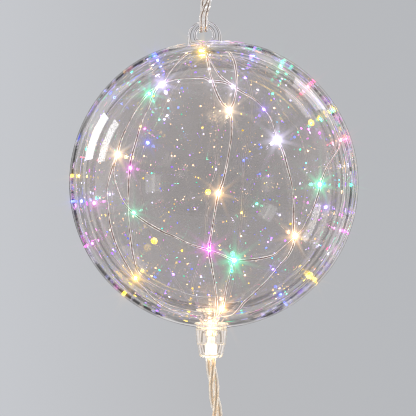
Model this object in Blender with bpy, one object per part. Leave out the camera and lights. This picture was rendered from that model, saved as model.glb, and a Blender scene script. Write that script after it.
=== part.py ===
"""A clear double-walled ball light that hangs from a corded loop.

Two thin clear balls sit one inside the other. The outer one has a moulded
trumpet neck below and a flattened crown above, where the hanging ring is
seated. A clear collar surrounds the neck, a plug closes it, and a twisted
clear lead leaves the plug downwards, with its spare length folded into a
tied hank that ends in a small low-voltage connector.

Units are metres, +Z is up and the ring faces -Y. The origin is the point of
the hanging loop that rests on a hook.
"""

import math

import bmesh
import bpy
from mathutils import Matrix, Vector

MM = 0.001

# ---------------------------------------------------------------- sizes
BALL_DROP = 100.0 * MM  # from the hook point down to the balls' centre
BALL_RADIUS = 60.0 * MM
BALL_WALL = 0.8 * MM
INNER_RADIUS = 54.0 * MM
INNER_WALL = 0.8 * MM
FIT_GAP = 0.3 * MM

# flattened crown under the ring
RING_OFF_AXIS_DEG = 3.6  # the ring stands this far to -X of the top
CROWN_DROP = 2.3 * MM
CROWN_WIDTH_DEG = 13.0

# hanging ring: a D-shaped ear with a round eye
RING_BASE = 58.1 * MM  # height of its foot above the balls' centre
RING_CENTRE = 60.7 * MM
RING_OUTER_RADIUS = 7.14 * MM
EYE_CENTRE = 61.9 * MM
EYE_RADIUS = 3.15 * MM
RING_HALF_DEPTH = 2.1 * MM

# neck, which leans this far to -X of the bottom
NECK_OFF_AXIS_DEG = 0.9
NECK_MOUTH_RADIUS = 9.0 * MM  # where the ball turns into the trumpet
NECK_TUBE_RADIUS = 2.4 * MM
NECK_TUBE_START = 64.6 * MM
NECK_TUBE_END = 66.2 * MM
INNER_NECK_RADIUS = 3.2 * MM
INNER_NECK_END = 59.4 * MM

# twisted lead of three strands
LEAD_DIAMETER = 4.7 * MM
PLUG_END = 72.4 * MM

# tied hank of spare lead, measured from the balls' centre
HANK_CENTRE = Vector((2.0, -6.0, -161.7)) * MM
HANK_HALF_LENGTH = 49.7 * MM
HANK_HALF_WAIST = 9.7 * MM
HANK_HALF_FOLD = 21.4 * MM
HANK_HALF_DEPTH = 9.6 * MM

# hanging cord: two strands passed through the eye and doubled back
STRAND_DIAMETER = 1.8 * MM
STRAND_SPREAD = 1.05 * MM
CORD_DIAMETER = 4.4 * MM
FERRULE_RADIUS = 2.9 * MM
FERRULE_LOW = 82.5 * MM
FERRULE_HIGH = 88.5 * MM
LOOP_TUBE_RADIUS = 1.1 * MM

BALL_SEGMENTS = 36


def clear_scene():
    for item in list(bpy.data.objects):
        bpy.data.objects.remove(item, do_unlink=True)


def material(name, colour, roughness, transmission=0.0, metallic=0.0):
    made = bpy.data.materials.new(name)
    made.use_nodes = True
    shader = made.node_tree.nodes["Principled BSDF"]
    shader.inputs["Base Color"].default_value = (*colour, 1.0)
    shader.inputs["Roughness"].default_value = roughness
    shader.inputs["Metallic"].default_value = metallic
    shader.inputs["Transmission Weight"].default_value = transmission
    shader.inputs["IOR"].default_value = 1.49
    made.diffuse_color = (*colour, 1.0)
    return made


def add_mesh(name, vertices, faces, finish, parent=None, turn_y_deg=0.0):
    mesh = bpy.data.meshes.new(name)
    mesh.from_pydata([tuple(v) for v in vertices], [], faces)
    work = bmesh.new()
    work.from_mesh(mesh)
    bmesh.ops.recalc_face_normals(work, faces=work.faces[:])
    work.to_mesh(mesh)
    work.free()
    mesh.shade_smooth()
    mesh.set_sharp_from_angle(angle=math.radians(35))
    mesh.materials.append(finish)
    made = bpy.data.objects.new(name, mesh)
    bpy.context.scene.collection.objects.link(made)
    made.parent = parent
    made.rotation_euler = (0.0, math.radians(turn_y_deg), 0.0)
    return made


def turned(profile, segments):
    """Vertices and faces of a profile of (radius, height) turned about Z.

    A profile that starts and ends on the axis closes there. Any other one
    closes on its own first point.
    """
    vertices, rings = [], []
    for radius, height in profile:
        if radius < 1e-9:
            rings.append([len(vertices)])
            vertices.append(Vector((0.0, 0.0, height)))
            continue
        rings.append(list(range(len(vertices), len(vertices) + segments)))
        for k in range(segments):
            angle = 2 * math.pi * k / segments
            vertices.append(
                Vector((radius * math.cos(angle), radius * math.sin(angle), height))
            )
    pairs = list(zip(rings, rings[1:]))
    if len(rings[0]) > 1:
        pairs.append((rings[-1], rings[0]))
    faces = []
    for a, b in pairs:
        for k in range(segments):
            after = (k + 1) % segments
            if len(a) == 1 and len(b) > 1:
                faces.append((a[0], b[after], b[k]))
            elif len(b) == 1 and len(a) > 1:
                faces.append((a[k], a[after], b[0]))
            elif len(a) > 1 and len(b) > 1:
                faces.append((a[k], a[after], b[after], b[k]))
    return vertices, faces


def bezier(p0, p1, p2, p3, count):
    """Points after p0, up to and with p3, of a cubic curve in the plane."""
    points = []
    for k in range(1, count + 1):
        t = k / count
        s = 1 - t
        points.append(
            tuple(
                s**3 * a + 3 * s * s * t * b + 3 * s * t * t * c + t**3 * d
                for a, b, c, d in zip(p0, p1, p2, p3)
            )
        )
    return points


def arc_profile(radius, mouth, count):
    """From the far pole round to where the sphere's own radius is mouth."""
    last = math.asin(mouth / radius)
    points = []
    for k in range(count + 1):
        angle = math.pi + (last - math.pi) * k / count
        points.append((max(0.0, radius * math.sin(angle)), radius * math.cos(angle)))
    points[0] = (0.0, -radius)
    return points


def flatten_crown(vertices, axis):
    """Draws the surface in around the axis, by a smooth bell of the angle."""
    shaped = []
    for v in vertices:
        angle = math.degrees(v.angle(axis)) if v.length > 0 else 180.0
        dip = CROWN_DROP * math.exp(-((angle / CROWN_WIDTH_DEG) ** 2))
        shaped.append(v - v.normalized() * dip)
    return shaped


def outer_ball(finish, parent):
    turn = 180.0 + NECK_OFF_AXIS_DEG
    inside = BALL_RADIUS - BALL_WALL
    outer = arc_profile(BALL_RADIUS, NECK_MOUTH_RADIUS, 19)
    start = outer[-1]
    slope = math.asin(NECK_MOUTH_RADIUS / BALL_RADIUS)
    pull = 3.6 * MM
    outer += bezier(
        start,
        (start[0] - pull * math.cos(slope), start[1] + pull * math.sin(slope)),
        (NECK_TUBE_RADIUS, 60.9 * MM),
        (NECK_TUBE_RADIUS, NECK_TUBE_START),
        6,
    )
    outer.append((NECK_TUBE_RADIUS, NECK_TUBE_END))
    mouth = NECK_MOUTH_RADIUS - 0.1 * MM
    inner = arc_profile(inside, mouth, 17)
    start = inner[-1]
    bore = NECK_TUBE_RADIUS - BALL_WALL
    inner += bezier(
        start,
        (start[0] - pull * math.cos(slope), start[1] + pull * math.sin(slope)),
        (bore, 60.3 * MM),
        (bore, NECK_TUBE_START),
        6,
    )
    inner.append((bore, NECK_TUBE_END))
    vertices, faces = turned(outer + inner[::-1], BALL_SEGMENTS)
    ring_way = Vector(
        (
            -math.sin(math.radians(RING_OFF_AXIS_DEG)),
            0.0,
            math.cos(math.radians(RING_OFF_AXIS_DEG)),
        )
    )
    local = Matrix.Rotation(math.radians(-turn), 3, "Y") @ ring_way
    vertices = flatten_crown(vertices, local)
    return add_mesh("outer_ball", vertices, faces, finish, parent, turn)


def inner_ball(finish, parent):
    inside = INNER_RADIUS - INNER_WALL
    pull = 1.6 * MM
    outer = arc_profile(INNER_RADIUS, 6.0 * MM, 15)
    start = outer[-1]
    outer += bezier(
        start,
        (start[0] - pull, start[1] + 0.15 * MM),
        (INNER_NECK_RADIUS, 54.4 * MM),
        (INNER_NECK_RADIUS, 56.2 * MM),
        4,
    )
    outer.append((INNER_NECK_RADIUS, INNER_NECK_END))
    inner = arc_profile(inside, 5.4 * MM, 13)
    start = inner[-1]
    bore = INNER_NECK_RADIUS - INNER_WALL
    inner += bezier(
        start,
        (start[0] - pull, start[1] + 0.15 * MM),
        (bore, 53.8 * MM),
        (bore, 56.2 * MM),
        4,
    )
    inner.append((bore, INNER_NECK_END))
    vertices, faces = turned(outer + inner[::-1], BALL_SEGMENTS - 8)
    return add_mesh(
        "inner_ball", vertices, faces, finish, parent, 180.0 + NECK_OFF_AXIS_DEG
    )


def ring_reach(angle):
    """Distance from the eye's centre to the ring's outline, at an angle from up."""
    across, up = math.sin(angle), math.cos(angle)
    drop = RING_CENTRE - EYE_CENTRE
    dot = up * drop
    round_top = dot + math.sqrt(dot * dot - drop * drop + RING_OUTER_RADIUS**2)
    side = RING_OUTER_RADIUS / abs(across) if abs(across) > 1e-6 else 1.0
    if EYE_CENTRE + round_top * up < RING_CENTRE:
        round_top = side
    foot = (EYE_CENTRE - RING_BASE) / -up if up < -1e-6 else 1.0
    power = 14.0
    return (round_top**-power + foot**-power) ** (-1 / power)


def hanging_ring(finish, parent):
    """The eye's rim, swept round with a rounded section as wide as the ring is there."""
    around, across = 36, 12
    vertices = []
    for k in range(around):
        angle = 2 * math.pi * k / around
        reach = ring_reach(angle)
        middle, half = (reach + EYE_RADIUS) / 2, (reach - EYE_RADIUS) / 2
        for j in range(across):
            t = 2 * math.pi * j / across
            c, s = math.cos(t), math.sin(t)
            out = middle + half * math.copysign(abs(c) ** 0.8, c)
            deep = RING_HALF_DEPTH * math.copysign(abs(s) ** 0.8, s)
            vertices.append(
                Vector(
                    (out * math.sin(angle), deep, EYE_CENTRE + out * math.cos(angle))
                )
            )
    faces = []
    for k in range(around):
        for j in range(across):
            a, b = k * across, ((k + 1) % around) * across
            after = (j + 1) % across
            faces.append((a + j, a + after, b + after, b + j))
    return add_mesh("hanging_ring", vertices, faces, finish, parent, -RING_OFF_AXIS_DEG)


def neck_collar(finish, parent):
    profile = [
        (6.30, 60.30),
        (6.60, 60.75),
        (6.20, 66.00),
        (6.03, 66.15),
        (4.95, 71.30),
        (4.70, 71.90),
        (4.20, 72.20),
        (3.05, 72.20),
        (3.05, 71.10),
        (3.60, 71.00),
        (3.95, 70.50),
        (4.85, 66.60),
        (5.25, 66.20),
        (5.45, 60.80),
    ]
    vertices, faces = turned([(r * MM, h * MM) for r, h in profile], 28)
    return add_mesh(
        "neck_collar", vertices, faces, finish, parent, 180.0 + NECK_OFF_AXIS_DEG
    )


def lead_plug(finish, parent):
    profile = [
        (0.0, 63.6),
        (1.1, 63.6),
        (1.3, 63.9),
        (1.3, 66.5),
        (2.45, 66.5),
        (2.45, 70.6),
        (2.75, 70.9),
        (2.75, 72.1),
        (2.5, 72.4),
        (0.0, 72.4),
    ]
    vertices, faces = turned([(r * MM, h * MM) for r, h in profile], 24)
    return add_mesh(
        "lead_plug", vertices, faces, finish, parent, 180.0 + NECK_OFF_AXIS_DEG
    )


def smooth_route(points, spacing):
    """Points at even spacing along a smooth curve through the given ones."""
    ends = [2 * points[0] - points[1], *points, 2 * points[-1] - points[-2]]
    fine = []
    for a, b, c, d in zip(ends, ends[1:], ends[2:], ends[3:]):
        for k in range(24):
            t = k / 24
            fine.append(
                0.5
                * (
                    2 * b
                    + (c - a) * t
                    + (2 * a - 5 * b + 4 * c - d) * t * t
                    + (3 * b - a - 3 * c + d) * t**3
                )
            )
    fine.append(points[-1])
    lengths = [0.0]
    for a, b in zip(fine, fine[1:]):
        lengths.append(lengths[-1] + (b - a).length)
    count = max(2, round(lengths[-1] / spacing))
    route, at = [], 0
    for k in range(count + 1):
        wanted = lengths[-1] * k / count
        while at < len(fine) - 2 and lengths[at + 1] < wanted:
            at += 1
        span = max(lengths[at + 1] - lengths[at], 1e-12)
        route.append(fine[at].lerp(fine[at + 1], (wanted - lengths[at]) / span))
    return route


def add_tube(name, points, radius, finish, parent, sides=2):
    curve = bpy.data.curves.new(name, "CURVE")
    curve.dimensions = "3D"
    curve.bevel_depth = radius
    curve.bevel_resolution = sides
    curve.use_fill_caps = True
    spline = curve.splines.new("POLY")
    spline.points.add(len(points) - 1)
    for slot, p in zip(spline.points, points):
        slot.co = (*p, 1.0)
    curve.materials.append(finish)
    made = bpy.data.objects.new(name, curve)
    bpy.context.scene.collection.objects.link(made)
    made.parent = parent
    return made


def lead_route():
    """The lead's own points from the plug, down behind the hank, to under its tie."""
    tilt = math.radians(NECK_OFF_AXIS_DEG)
    start = PLUG_END + FIT_GAP
    points = [Vector((-start * math.sin(tilt), 0.0, -start * math.cos(tilt)))]
    low, high = 112.0, 87.0
    for height, x in (
        (76.0, -0.95),
        (80.5, -0.50),
        (86.5, 0.19),
        (91.5, 0.76),
        (96.5, 1.33),
        (101.0, 1.80),
        (106.0, 2.15),
        (112.0, 2.30),
        (122.0, 2.20),
        (135.0, 2.05),
        (150.0, 2.00),
        (168.7, 2.00),
    ):
        share = min(1.0, max(0.0, (height - high) / (low - high)))
        back = 6.3 * (1 - math.cos(math.pi * share)) / 2
        points.append(Vector((x, back, -height)) * MM)
    return points


def hank_outline(count):
    """Half the hank's width along its length: full at the folds, drawn in at the tie."""
    points = []
    for k in range(count + 1):
        t = -1 + 2 * k / count
        z = HANK_HALF_LENGTH * math.sin(t * math.pi / 2)
        share = min(1.0, abs(z) / (HANK_HALF_LENGTH - HANK_HALF_FOLD))
        width = (
            HANK_HALF_WAIST
            + (HANK_HALF_FOLD - HANK_HALF_WAIST) * (1 - math.cos(math.pi * share)) / 2
        )
        past = abs(z) - (HANK_HALF_LENGTH - HANK_HALF_FOLD)
        if past > 0:
            width = math.sqrt(max(0.0, HANK_HALF_FOLD**2 - past**2))
        points.append((width, z))
    return points


def lead_hank(finish, parent):
    half = hank_outline(22)
    right = [(x, z) for x, z in half if x > 1e-4]
    outline = (
        [(0.0, -HANK_HALF_LENGTH)]
        + right
        + [(0.0, HANK_HALF_LENGTH)]
        + [(-x, z) for x, z in reversed(right)]
    )
    vertices, layers = [], []
    for inset, y in (
        (0.9, -HANK_HALF_DEPTH),
        (1.0, -HANK_HALF_DEPTH + 1.6 * MM),
        (1.0, HANK_HALF_DEPTH - 1.6 * MM),
        (0.9, HANK_HALF_DEPTH),
    ):
        layers.append(range(len(vertices), len(vertices) + len(outline)))
        for x, z in outline:
            near = math.hypot(x, z)
            cut = (1 - inset) * 16 * MM
            keep = (near - cut) / near
            vertices.append(HANK_CENTRE + Vector((x * keep, y, z * keep)))
    faces = [tuple(layers[0]), tuple(reversed(layers[-1]))]
    for a, b in zip(layers, layers[1:]):
        for k in range(len(outline)):
            after = (k + 1) % len(outline)
            faces.append((a[k], b[k], b[after], a[after]))
    return add_mesh("lead_hank", vertices, faces, finish, parent)


def hank_tie(finish, parent):
    """A flat strap drawn round the hank's waist and the two runs that lie on it."""
    thick, high, around = 0.9 * MM, 2.6 * MM, 36
    corner = 1.4 * MM
    side = HANK_HALF_WAIST + 0.7 * MM - corner
    face = HANK_HALF_DEPTH - corner
    run = HANK_HALF_DEPTH + FIT_GAP + LEAD_DIAMETER / 2
    held = [(x, y, corner) for x in (-side, side) for y in (-face, face)]
    held += [(0.0, y, LEAD_DIAMETER / 2) for y in (-run, run)]
    vertices = []
    for k in range(around):
        angle = 2 * math.pi * (k + 0.5) / around
        across, deep = math.cos(angle), math.sin(angle)
        x, y, radius = max(held, key=lambda c: c[0] * across + c[1] * deep + c[2])
        for grow, z in ((0.0, -high), (thick, -high), (thick, high), (0.0, high)):
            out = radius + FIT_GAP + grow
            vertices.append(
                HANK_CENTRE + Vector((x + out * across, y + out * deep, z))
            )
    faces = []
    for k in range(around):
        a, b = 4 * k, 4 * ((k + 1) % around)
        for j in range(4):
            after = (j + 1) % 4
            faces.append((a + j, a + after, b + after, b + j))
    return add_mesh("hank_tie", vertices, faces, finish, parent)


CONNECTOR_AT = HANK_CENTRE + Vector((0.0, -14.8, -20.0)) * MM


def lead_connector(finish, parent):
    """A turned connector: a strain relief, a grip and a thin barrel with a narrow bore."""
    profile = [
        (0.0, 0.0),
        (2.7, 0.0),
        (3.1, -0.8),
        (3.5, -6.0),
        (4.4, -7.2),
        (4.4, -19.6),
        (4.0, -20.2),
        (2.75, -20.2),
        (2.75, -29.6),
        (2.55, -30.0),
        (1.05, -30.0),
        (1.05, -22.5),
        (0.0, -22.5),
    ]
    vertices, faces = turned([(r * MM, h * MM) for r, h in profile], 24)
    vertices = [CONNECTOR_AT + v for v in vertices]
    return add_mesh("lead_connector", vertices, faces, finish, parent)


def lead_tail(finish, parent):
    """The last stretch, from under the tie to the connector."""
    front = HANK_CENTRE.y - HANK_HALF_DEPTH - LEAD_DIAMETER / 2 - FIT_GAP
    points = [
        Vector((HANK_CENTRE.x, front, HANK_CENTRE.z + 7 * MM)),
        Vector((HANK_CENTRE.x, front, HANK_CENTRE.z)),
        Vector((HANK_CENTRE.x, front - 0.3 * MM, HANK_CENTRE.z - 7 * MM)),
        Vector((HANK_CENTRE.x, CONNECTOR_AT.y + 0.7 * MM, HANK_CENTRE.z - 14 * MM)),
        CONNECTOR_AT + Vector((0.0, 0.0, FIT_GAP)),
    ]
    return add_tube(
        "lead_tail", smooth_route(points, 5 * MM), LEAD_DIAMETER / 2, finish, parent
    )


def cord_axis(height):
    """The leaning line of the hanging cord, from the ring's eye to above the balls' centre."""
    foot, top = Vector((-4.25, 0.0, 68.0)) * MM, Vector((0.0, 0.0, 100.0)) * MM
    share = (height - foot.z) / (top.z - foot.z)
    return foot.lerp(top, share)


def hanging_strand(name, side, finish, parent):
    """One strand, in front of the ring's top bar, through the eye and up behind it."""
    tilt = math.radians(RING_OFF_AXIS_DEG)
    x = -4.25 * MM + side * STRAND_SPREAD
    across = x + EYE_CENTRE * math.sin(tilt)
    crown = EYE_CENTRE * math.cos(tilt) + math.sqrt(EYE_RADIUS**2 - across**2)
    radius = STRAND_DIAMETER / 2
    low = crown - FIT_GAP - radius
    out = RING_HALF_DEPTH + FIT_GAP + radius
    half = [
        Vector((cord_axis(71.0 * MM).x + side * STRAND_SPREAD, 1.25 * MM, 71.0 * MM)),
        Vector((x + 0.10 * MM, 2.4 * MM, 69.3 * MM)),
        Vector((x, out, 67.3 * MM)),
        Vector((x, out, 65.7 * MM)),
        Vector((x, 0.62 * out, low + 0.55 * MM)),
    ]
    front = [Vector((p.x, -p.y, p.z)) for p in half]
    points = front + [Vector((x, 0.0, low))] + half[::-1]
    return add_tube(name, smooth_route(points, 1.3 * MM), radius, finish, parent)


def hanging_cord(finish, parent):
    low, high = 72.2 * MM, FERRULE_LOW - FIT_GAP
    points = [cord_axis(low + (high - low) * k / 3) for k in range(4)]
    return add_tube("hanging_cord", points, CORD_DIAMETER / 2, finish, parent)


def cord_ferrule(finish, parent):
    """A crimped sleeve where the strands' ends meet, along the cord's own line."""
    length = FERRULE_HIGH - FERRULE_LOW
    profile = [
        (0.0, 0.0),
        (0.86, 0.0),
        (1.0, 0.08),
        (1.0, 0.36),
        (0.9, 0.42),
        (0.9, 0.58),
        (1.0, 0.64),
        (1.0, 0.92),
        (0.86, 1.0),
        (0.0, 1.0),
    ]
    vertices, faces = turned([(r * FERRULE_RADIUS, h * length) for r, h in profile], 20)
    base, way = cord_axis(FERRULE_LOW), cord_axis(1.0) - cord_axis(0.0)
    lean = Vector((0.0, 0.0, 1.0)).rotation_difference(way).to_matrix()
    vertices = [base + lean @ v for v in vertices]
    return add_mesh("cord_ferrule", vertices, faces, finish, parent)


def hanging_loop(finish, parent):
    """The teardrop loop over the hook. Its upper inside is the origin."""
    foot = cord_axis(FERRULE_HIGH + FIT_GAP)
    top = Vector((0.0, 0.0, BALL_DROP + LOOP_TUBE_RADIUS))
    rise = top.z - foot.z
    half = (
        (1.35, 0.01),
        (1.35, 0.10),
        (2.0, 0.24),
        (3.3, 0.42),
        (4.2, 0.62),
        (3.7, 0.82),
        (2.0, 0.96),
    )
    right, left = [], []
    for across, up in half:
        middle = Vector((foot.x + (top.x - foot.x) * up, 0.0, foot.z + rise * up))
        right.append(middle + Vector((across * MM, 0.0, 0.0)))
        left.append(middle - Vector((across * MM, 0.0, 0.0)))
    points = right + [top] + left[::-1]
    return add_tube(
        "hanging_loop", smooth_route(points, 1.5 * MM), LOOP_TUBE_RADIUS, finish, parent
    )


def build():
    clear_scene()
    centre = bpy.data.objects.new("ball_centre", None)
    bpy.context.scene.collection.objects.link(centre)
    centre.location = (0.0, 0.0, -BALL_DROP)

    clear = material("clear_plastic", (0.95, 0.95, 0.95), 0.03, transmission=1.0)
    ring_clear = material("clear_ring_plastic", (0.96, 0.96, 0.97), 0.05, 1.0)
    collar_clear = material("clear_collar_plastic", (0.96, 0.96, 0.96), 0.06, 1.0)
    plug_finish = material("milky_plug_plastic", (0.95, 0.88, 0.72), 0.35, 0.5)
    lead_finish = material("clear_lead_sheath", (0.80, 0.72, 0.62), 0.15, 0.7)
    cord_finish = material("clear_cord_sheath", (0.80, 0.72, 0.62), 0.15, 0.7)
    tie_finish = material("tie_plastic", (0.88, 0.88, 0.86), 0.4)
    connector_finish = material("connector_plastic", (0.85, 0.85, 0.84), 0.3)
    ferrule_finish = material("ferrule_plastic", (0.90, 0.90, 0.89), 0.3)

    outer_ball(clear, centre)
    inner_ball(clear, centre)
    hanging_ring(ring_clear, centre)
    neck_collar(collar_clear, centre)
    lead_plug(plug_finish, centre)

    add_tube(
        "lead_cord",
        smooth_route(lead_route(), 8 * MM),
        LEAD_DIAMETER / 2,
        lead_finish,
        centre,
    )
    lead_hank(lead_finish, centre)
    hank_tie(tie_finish, centre)
    lead_tail(lead_finish, centre)
    lead_connector(connector_finish, centre)

    hanging_strand("hanging_strand_left", -1, cord_finish, centre)
    hanging_strand("hanging_strand_right", 1, cord_finish, centre)
    hanging_cord(cord_finish, centre)
    cord_ferrule(ferrule_finish, centre)
    hanging_loop(cord_finish, centre)


build()
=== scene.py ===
"""Visual model of a clear double-walled ball light on a corded loop.

Everything is in metres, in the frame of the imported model. The balls' centre
is 100 mm below the origin, and the camera looks along +Y.
"""

import math
import random

import bmesh
import bpy
import numpy as np
from mathutils import Matrix, Vector


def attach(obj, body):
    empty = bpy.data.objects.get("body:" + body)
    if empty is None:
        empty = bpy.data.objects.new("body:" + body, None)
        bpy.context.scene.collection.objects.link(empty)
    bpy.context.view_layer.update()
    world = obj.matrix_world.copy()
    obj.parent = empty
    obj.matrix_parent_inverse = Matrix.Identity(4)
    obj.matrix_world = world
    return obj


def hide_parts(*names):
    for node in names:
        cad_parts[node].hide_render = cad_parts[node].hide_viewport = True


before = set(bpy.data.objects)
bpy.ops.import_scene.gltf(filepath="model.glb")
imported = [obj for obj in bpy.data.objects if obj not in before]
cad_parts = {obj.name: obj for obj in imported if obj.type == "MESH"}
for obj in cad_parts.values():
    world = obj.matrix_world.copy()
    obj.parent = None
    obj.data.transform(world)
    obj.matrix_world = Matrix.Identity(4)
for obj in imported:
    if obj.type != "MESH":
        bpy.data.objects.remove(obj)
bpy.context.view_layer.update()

MM = 0.001
CENTRE = Vector((0.0, 0.0, -0.100))
BALL_R = 60.0 * MM
BALL_WALL = 0.8 * MM
INNER_R = 54.0 * MM
INNER_WALL = 0.8 * MM
RING_TILT = math.radians(3.6)
NECK_TILT = math.radians(0.9)
PX = 0.41522 * MM  # size of a pixel of the picture at the balls' centre
rng = random.Random(20)

# ------------------------------------------------------------ camera
EYE = Vector((-2.41 * MM, -1.2, CENTRE.z - 10.13 * MM))
camera_data = bpy.data.cameras.new("camera")
camera_data.sensor_width = 36.0
camera_data.lens = 36.0 * 1200.0 / 172.73
camera = bpy.data.objects.new("camera", camera_data)
camera.location = EYE
camera.rotation_euler = (math.radians(90), 0, 0)
bpy.context.scene.collection.objects.link(camera)
bpy.context.scene.camera = camera


def on_plane(u, v):
    """The point of the plane through the balls' centre that a picture position shows."""
    return Vector(((u - 213.8) * PX, 0.0, CENTRE.z + (183.6 - v) * PX))


def on_ball(u, v, radius, back=False):
    """Where the line of sight through a picture position meets a ball of that radius."""
    way = (on_plane(u, v) - EYE).normalized()
    off = EYE - CENTRE
    b = off.dot(way)
    gap = b * b - (off.length_squared - radius * radius)
    if gap <= 0:
        near = EYE + way * -b - CENTRE
        return CENTRE + near.normalized() * radius
    root = math.sqrt(gap)
    return EYE + way * (-b + (root if back else -root))


# ------------------------------------------------------------ materials
def new_material(name):
    made = bpy.data.materials.new(name)
    made.use_nodes = True
    nodes, links = made.node_tree.nodes, made.node_tree.links
    return made, nodes, links, nodes["Principled BSDF"]


def set_values(shader, **values):
    for key, value in values.items():
        socket = shader.inputs[key.replace("_", " ")]
        if isinstance(value, tuple) and len(value) == 3:
            value = (*value, 1.0)
        socket.default_value = value


def add_bump(nodes, links, shader, scale, strength, distance, detail=2.0, stretch=None):
    coord = nodes.new("ShaderNodeTexCoord")
    source = coord.outputs["Object"]
    if stretch:
        mapping = nodes.new("ShaderNodeMapping")
        mapping.inputs["Scale"].default_value = stretch
        links.new(source, mapping.inputs["Vector"])
        source = mapping.outputs["Vector"]
    noise = nodes.new("ShaderNodeTexNoise")
    noise.inputs["Scale"].default_value = scale
    noise.inputs["Detail"].default_value = detail
    links.new(source, noise.inputs["Vector"])
    bump = nodes.new("ShaderNodeBump")
    bump.inputs["Strength"].default_value = strength
    bump.inputs["Distance"].default_value = distance
    links.new(noise.outputs["Fac"], bump.inputs["Height"])
    links.new(bump.outputs["Normal"], shader.inputs["Normal"])
    return noise


def vary_roughness(nodes, links, shader, noise, low, high):
    reach = nodes.new("ShaderNodeMapRange")
    reach.inputs["To Min"].default_value = low
    reach.inputs["To Max"].default_value = high
    links.new(noise.outputs["Fac"], reach.inputs["Value"])
    links.new(reach.outputs["Result"], shader.inputs["Roughness"])


def clear_plastic(
    name, tint, ior=1.49, wave=0.06, rough=(0.0, 0.012), scale=55.0, gleam=None, lit=None
):
    """gleam is the tint of the soft sheen at the outline, lit the colour and strength of a painted glow that fills the
    piece, though it holds no lamp.
    """
    made, nodes, links, shader = new_material(name)
    set_values(
        shader, Base_Color=tint, IOR=ior, Transmission_Weight=1.0, Roughness=rough[0]
    )
    if gleam:
        set_values(shader, Sheen_Weight=1.0, Sheen_Roughness=0.28, Sheen_Tint=gleam)
    # painted glow: a faint constant emission, though the piece holds no lamp
    if lit:
        set_values(shader, Emission_Color=lit[0], Emission_Strength=lit[1])
        made.cycles.emission_sampling = "NONE"
    noise = add_bump(nodes, links, shader, scale, wave, 0.0004)
    vary_roughness(nodes, links, shader, noise, *rough)
    return made


def glow(name, core, edge, strength, scale=650.0):
    """A lit droplet of milky resin, clearer in some places than in others; the same glow also makes the lit specks and
    lines that are painted reflections of the lights.
    """
    made, nodes, links, shader = new_material(name)
    noise = add_bump(nodes, links, shader, scale, 0.10, 0.0001)
    tones = nodes.new("ShaderNodeValToRGB")
    tones.color_ramp.elements[0].position = 0.36
    tones.color_ramp.elements[0].color = (*edge, 1.0)
    tones.color_ramp.elements[1].position = 0.58
    tones.color_ramp.elements[1].color = (*core, 1.0)
    links.new(noise.outputs["Fac"], tones.inputs["Fac"])
    links.new(tones.outputs["Color"], shader.inputs["Emission Color"])
    vary_roughness(nodes, links, shader, noise, 0.15, 0.30)
    set_values(shader, Base_Color=edge, Emission_Strength=float(strength))
    made.cycles.emission_sampling = "NONE"
    return made


# ------------------------------------------------------------ mesh helpers
def mesh_piece(name, vertices, faces, materials, indices=None, sharp=35):
    mesh = bpy.data.meshes.new(name)
    mesh.from_pydata([tuple(v) for v in vertices], [], faces)
    for each in materials:
        mesh.materials.append(each)
    if indices is not None:
        mesh.polygons.foreach_set("material_index", indices)
    work = bmesh.new()
    work.from_mesh(mesh)
    bmesh.ops.recalc_face_normals(work, faces=work.faces[:])
    work.to_mesh(mesh)
    work.free()
    mesh.shade_smooth()
    if sharp:
        mesh.set_sharp_from_angle(angle=math.radians(sharp))
    made = bpy.data.objects.new(name, mesh)
    bpy.context.scene.collection.objects.link(made)
    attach(made, "root")
    return made


def turned(profile, segments):
    vertices, rings = [], []
    for radius, height in profile:
        if radius < 1e-9:
            rings.append([len(vertices)])
            vertices.append(Vector((0.0, 0.0, height)))
            continue
        rings.append(list(range(len(vertices), len(vertices) + segments)))
        for k in range(segments):
            angle = 2 * math.pi * k / segments
            vertices.append(
                Vector((radius * math.cos(angle), radius * math.sin(angle), height))
            )
    pairs = list(zip(rings, rings[1:]))
    if len(rings[0]) > 1:
        pairs.append((rings[-1], rings[0]))
    faces = []
    for a, b in pairs:
        for k in range(segments):
            after = (k + 1) % segments
            if len(a) == 1 and len(b) > 1:
                faces.append((a[0], b[after], b[k]))
            elif len(b) == 1 and len(a) > 1:
                faces.append((a[k], a[after], b[0]))
            elif len(a) > 1 and len(b) > 1:
                faces.append((a[k], a[after], b[after], b[k]))
    return vertices, faces


def bezier(p0, p1, p2, p3, count):
    points = []
    for k in range(1, count + 1):
        t = k / count
        s = 1 - t
        points.append(
            tuple(
                s**3 * a + 3 * s * s * t * b + 3 * s * t * t * c + t**3 * d
                for a, b, c, d in zip(p0, p1, p2, p3)
            )
        )
    return points


def arc_profile(radius, mouth, count):
    last = math.asin(mouth / radius)
    points = []
    for k in range(count + 1):
        angle = math.pi + (last - math.pi) * k / count
        points.append((max(0.0, radius * math.sin(angle)), radius * math.cos(angle)))
    points[0] = (0.0, -radius)
    return points


def rounded(profile, reach, count=3):
    """The profile with each inner corner rounded over up to that reach."""
    out = [profile[0]]
    for a, b, c in zip(profile, profile[1:], profile[2:]):
        pa, pb, pc = Vector(a), Vector(b), Vector(c)
        la, lc = (pa - pb).length, (pc - pb).length
        cut = min(reach, 0.45 * la, 0.45 * lc)
        start, end = pb + (pa - pb) / la * cut, pb + (pc - pb) / lc * cut
        for k in range(count + 1):
            t = k / count
            out.append(
                tuple((1 - t) ** 2 * start + 2 * t * (1 - t) * pb + t * t * end)
            )
    out.append(profile[-1])
    return out


def turn_y(vertices, angle, offset=CENTRE):
    spin = Matrix.Rotation(angle, 3, "Y")
    return [offset + spin @ v for v in vertices]


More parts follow.
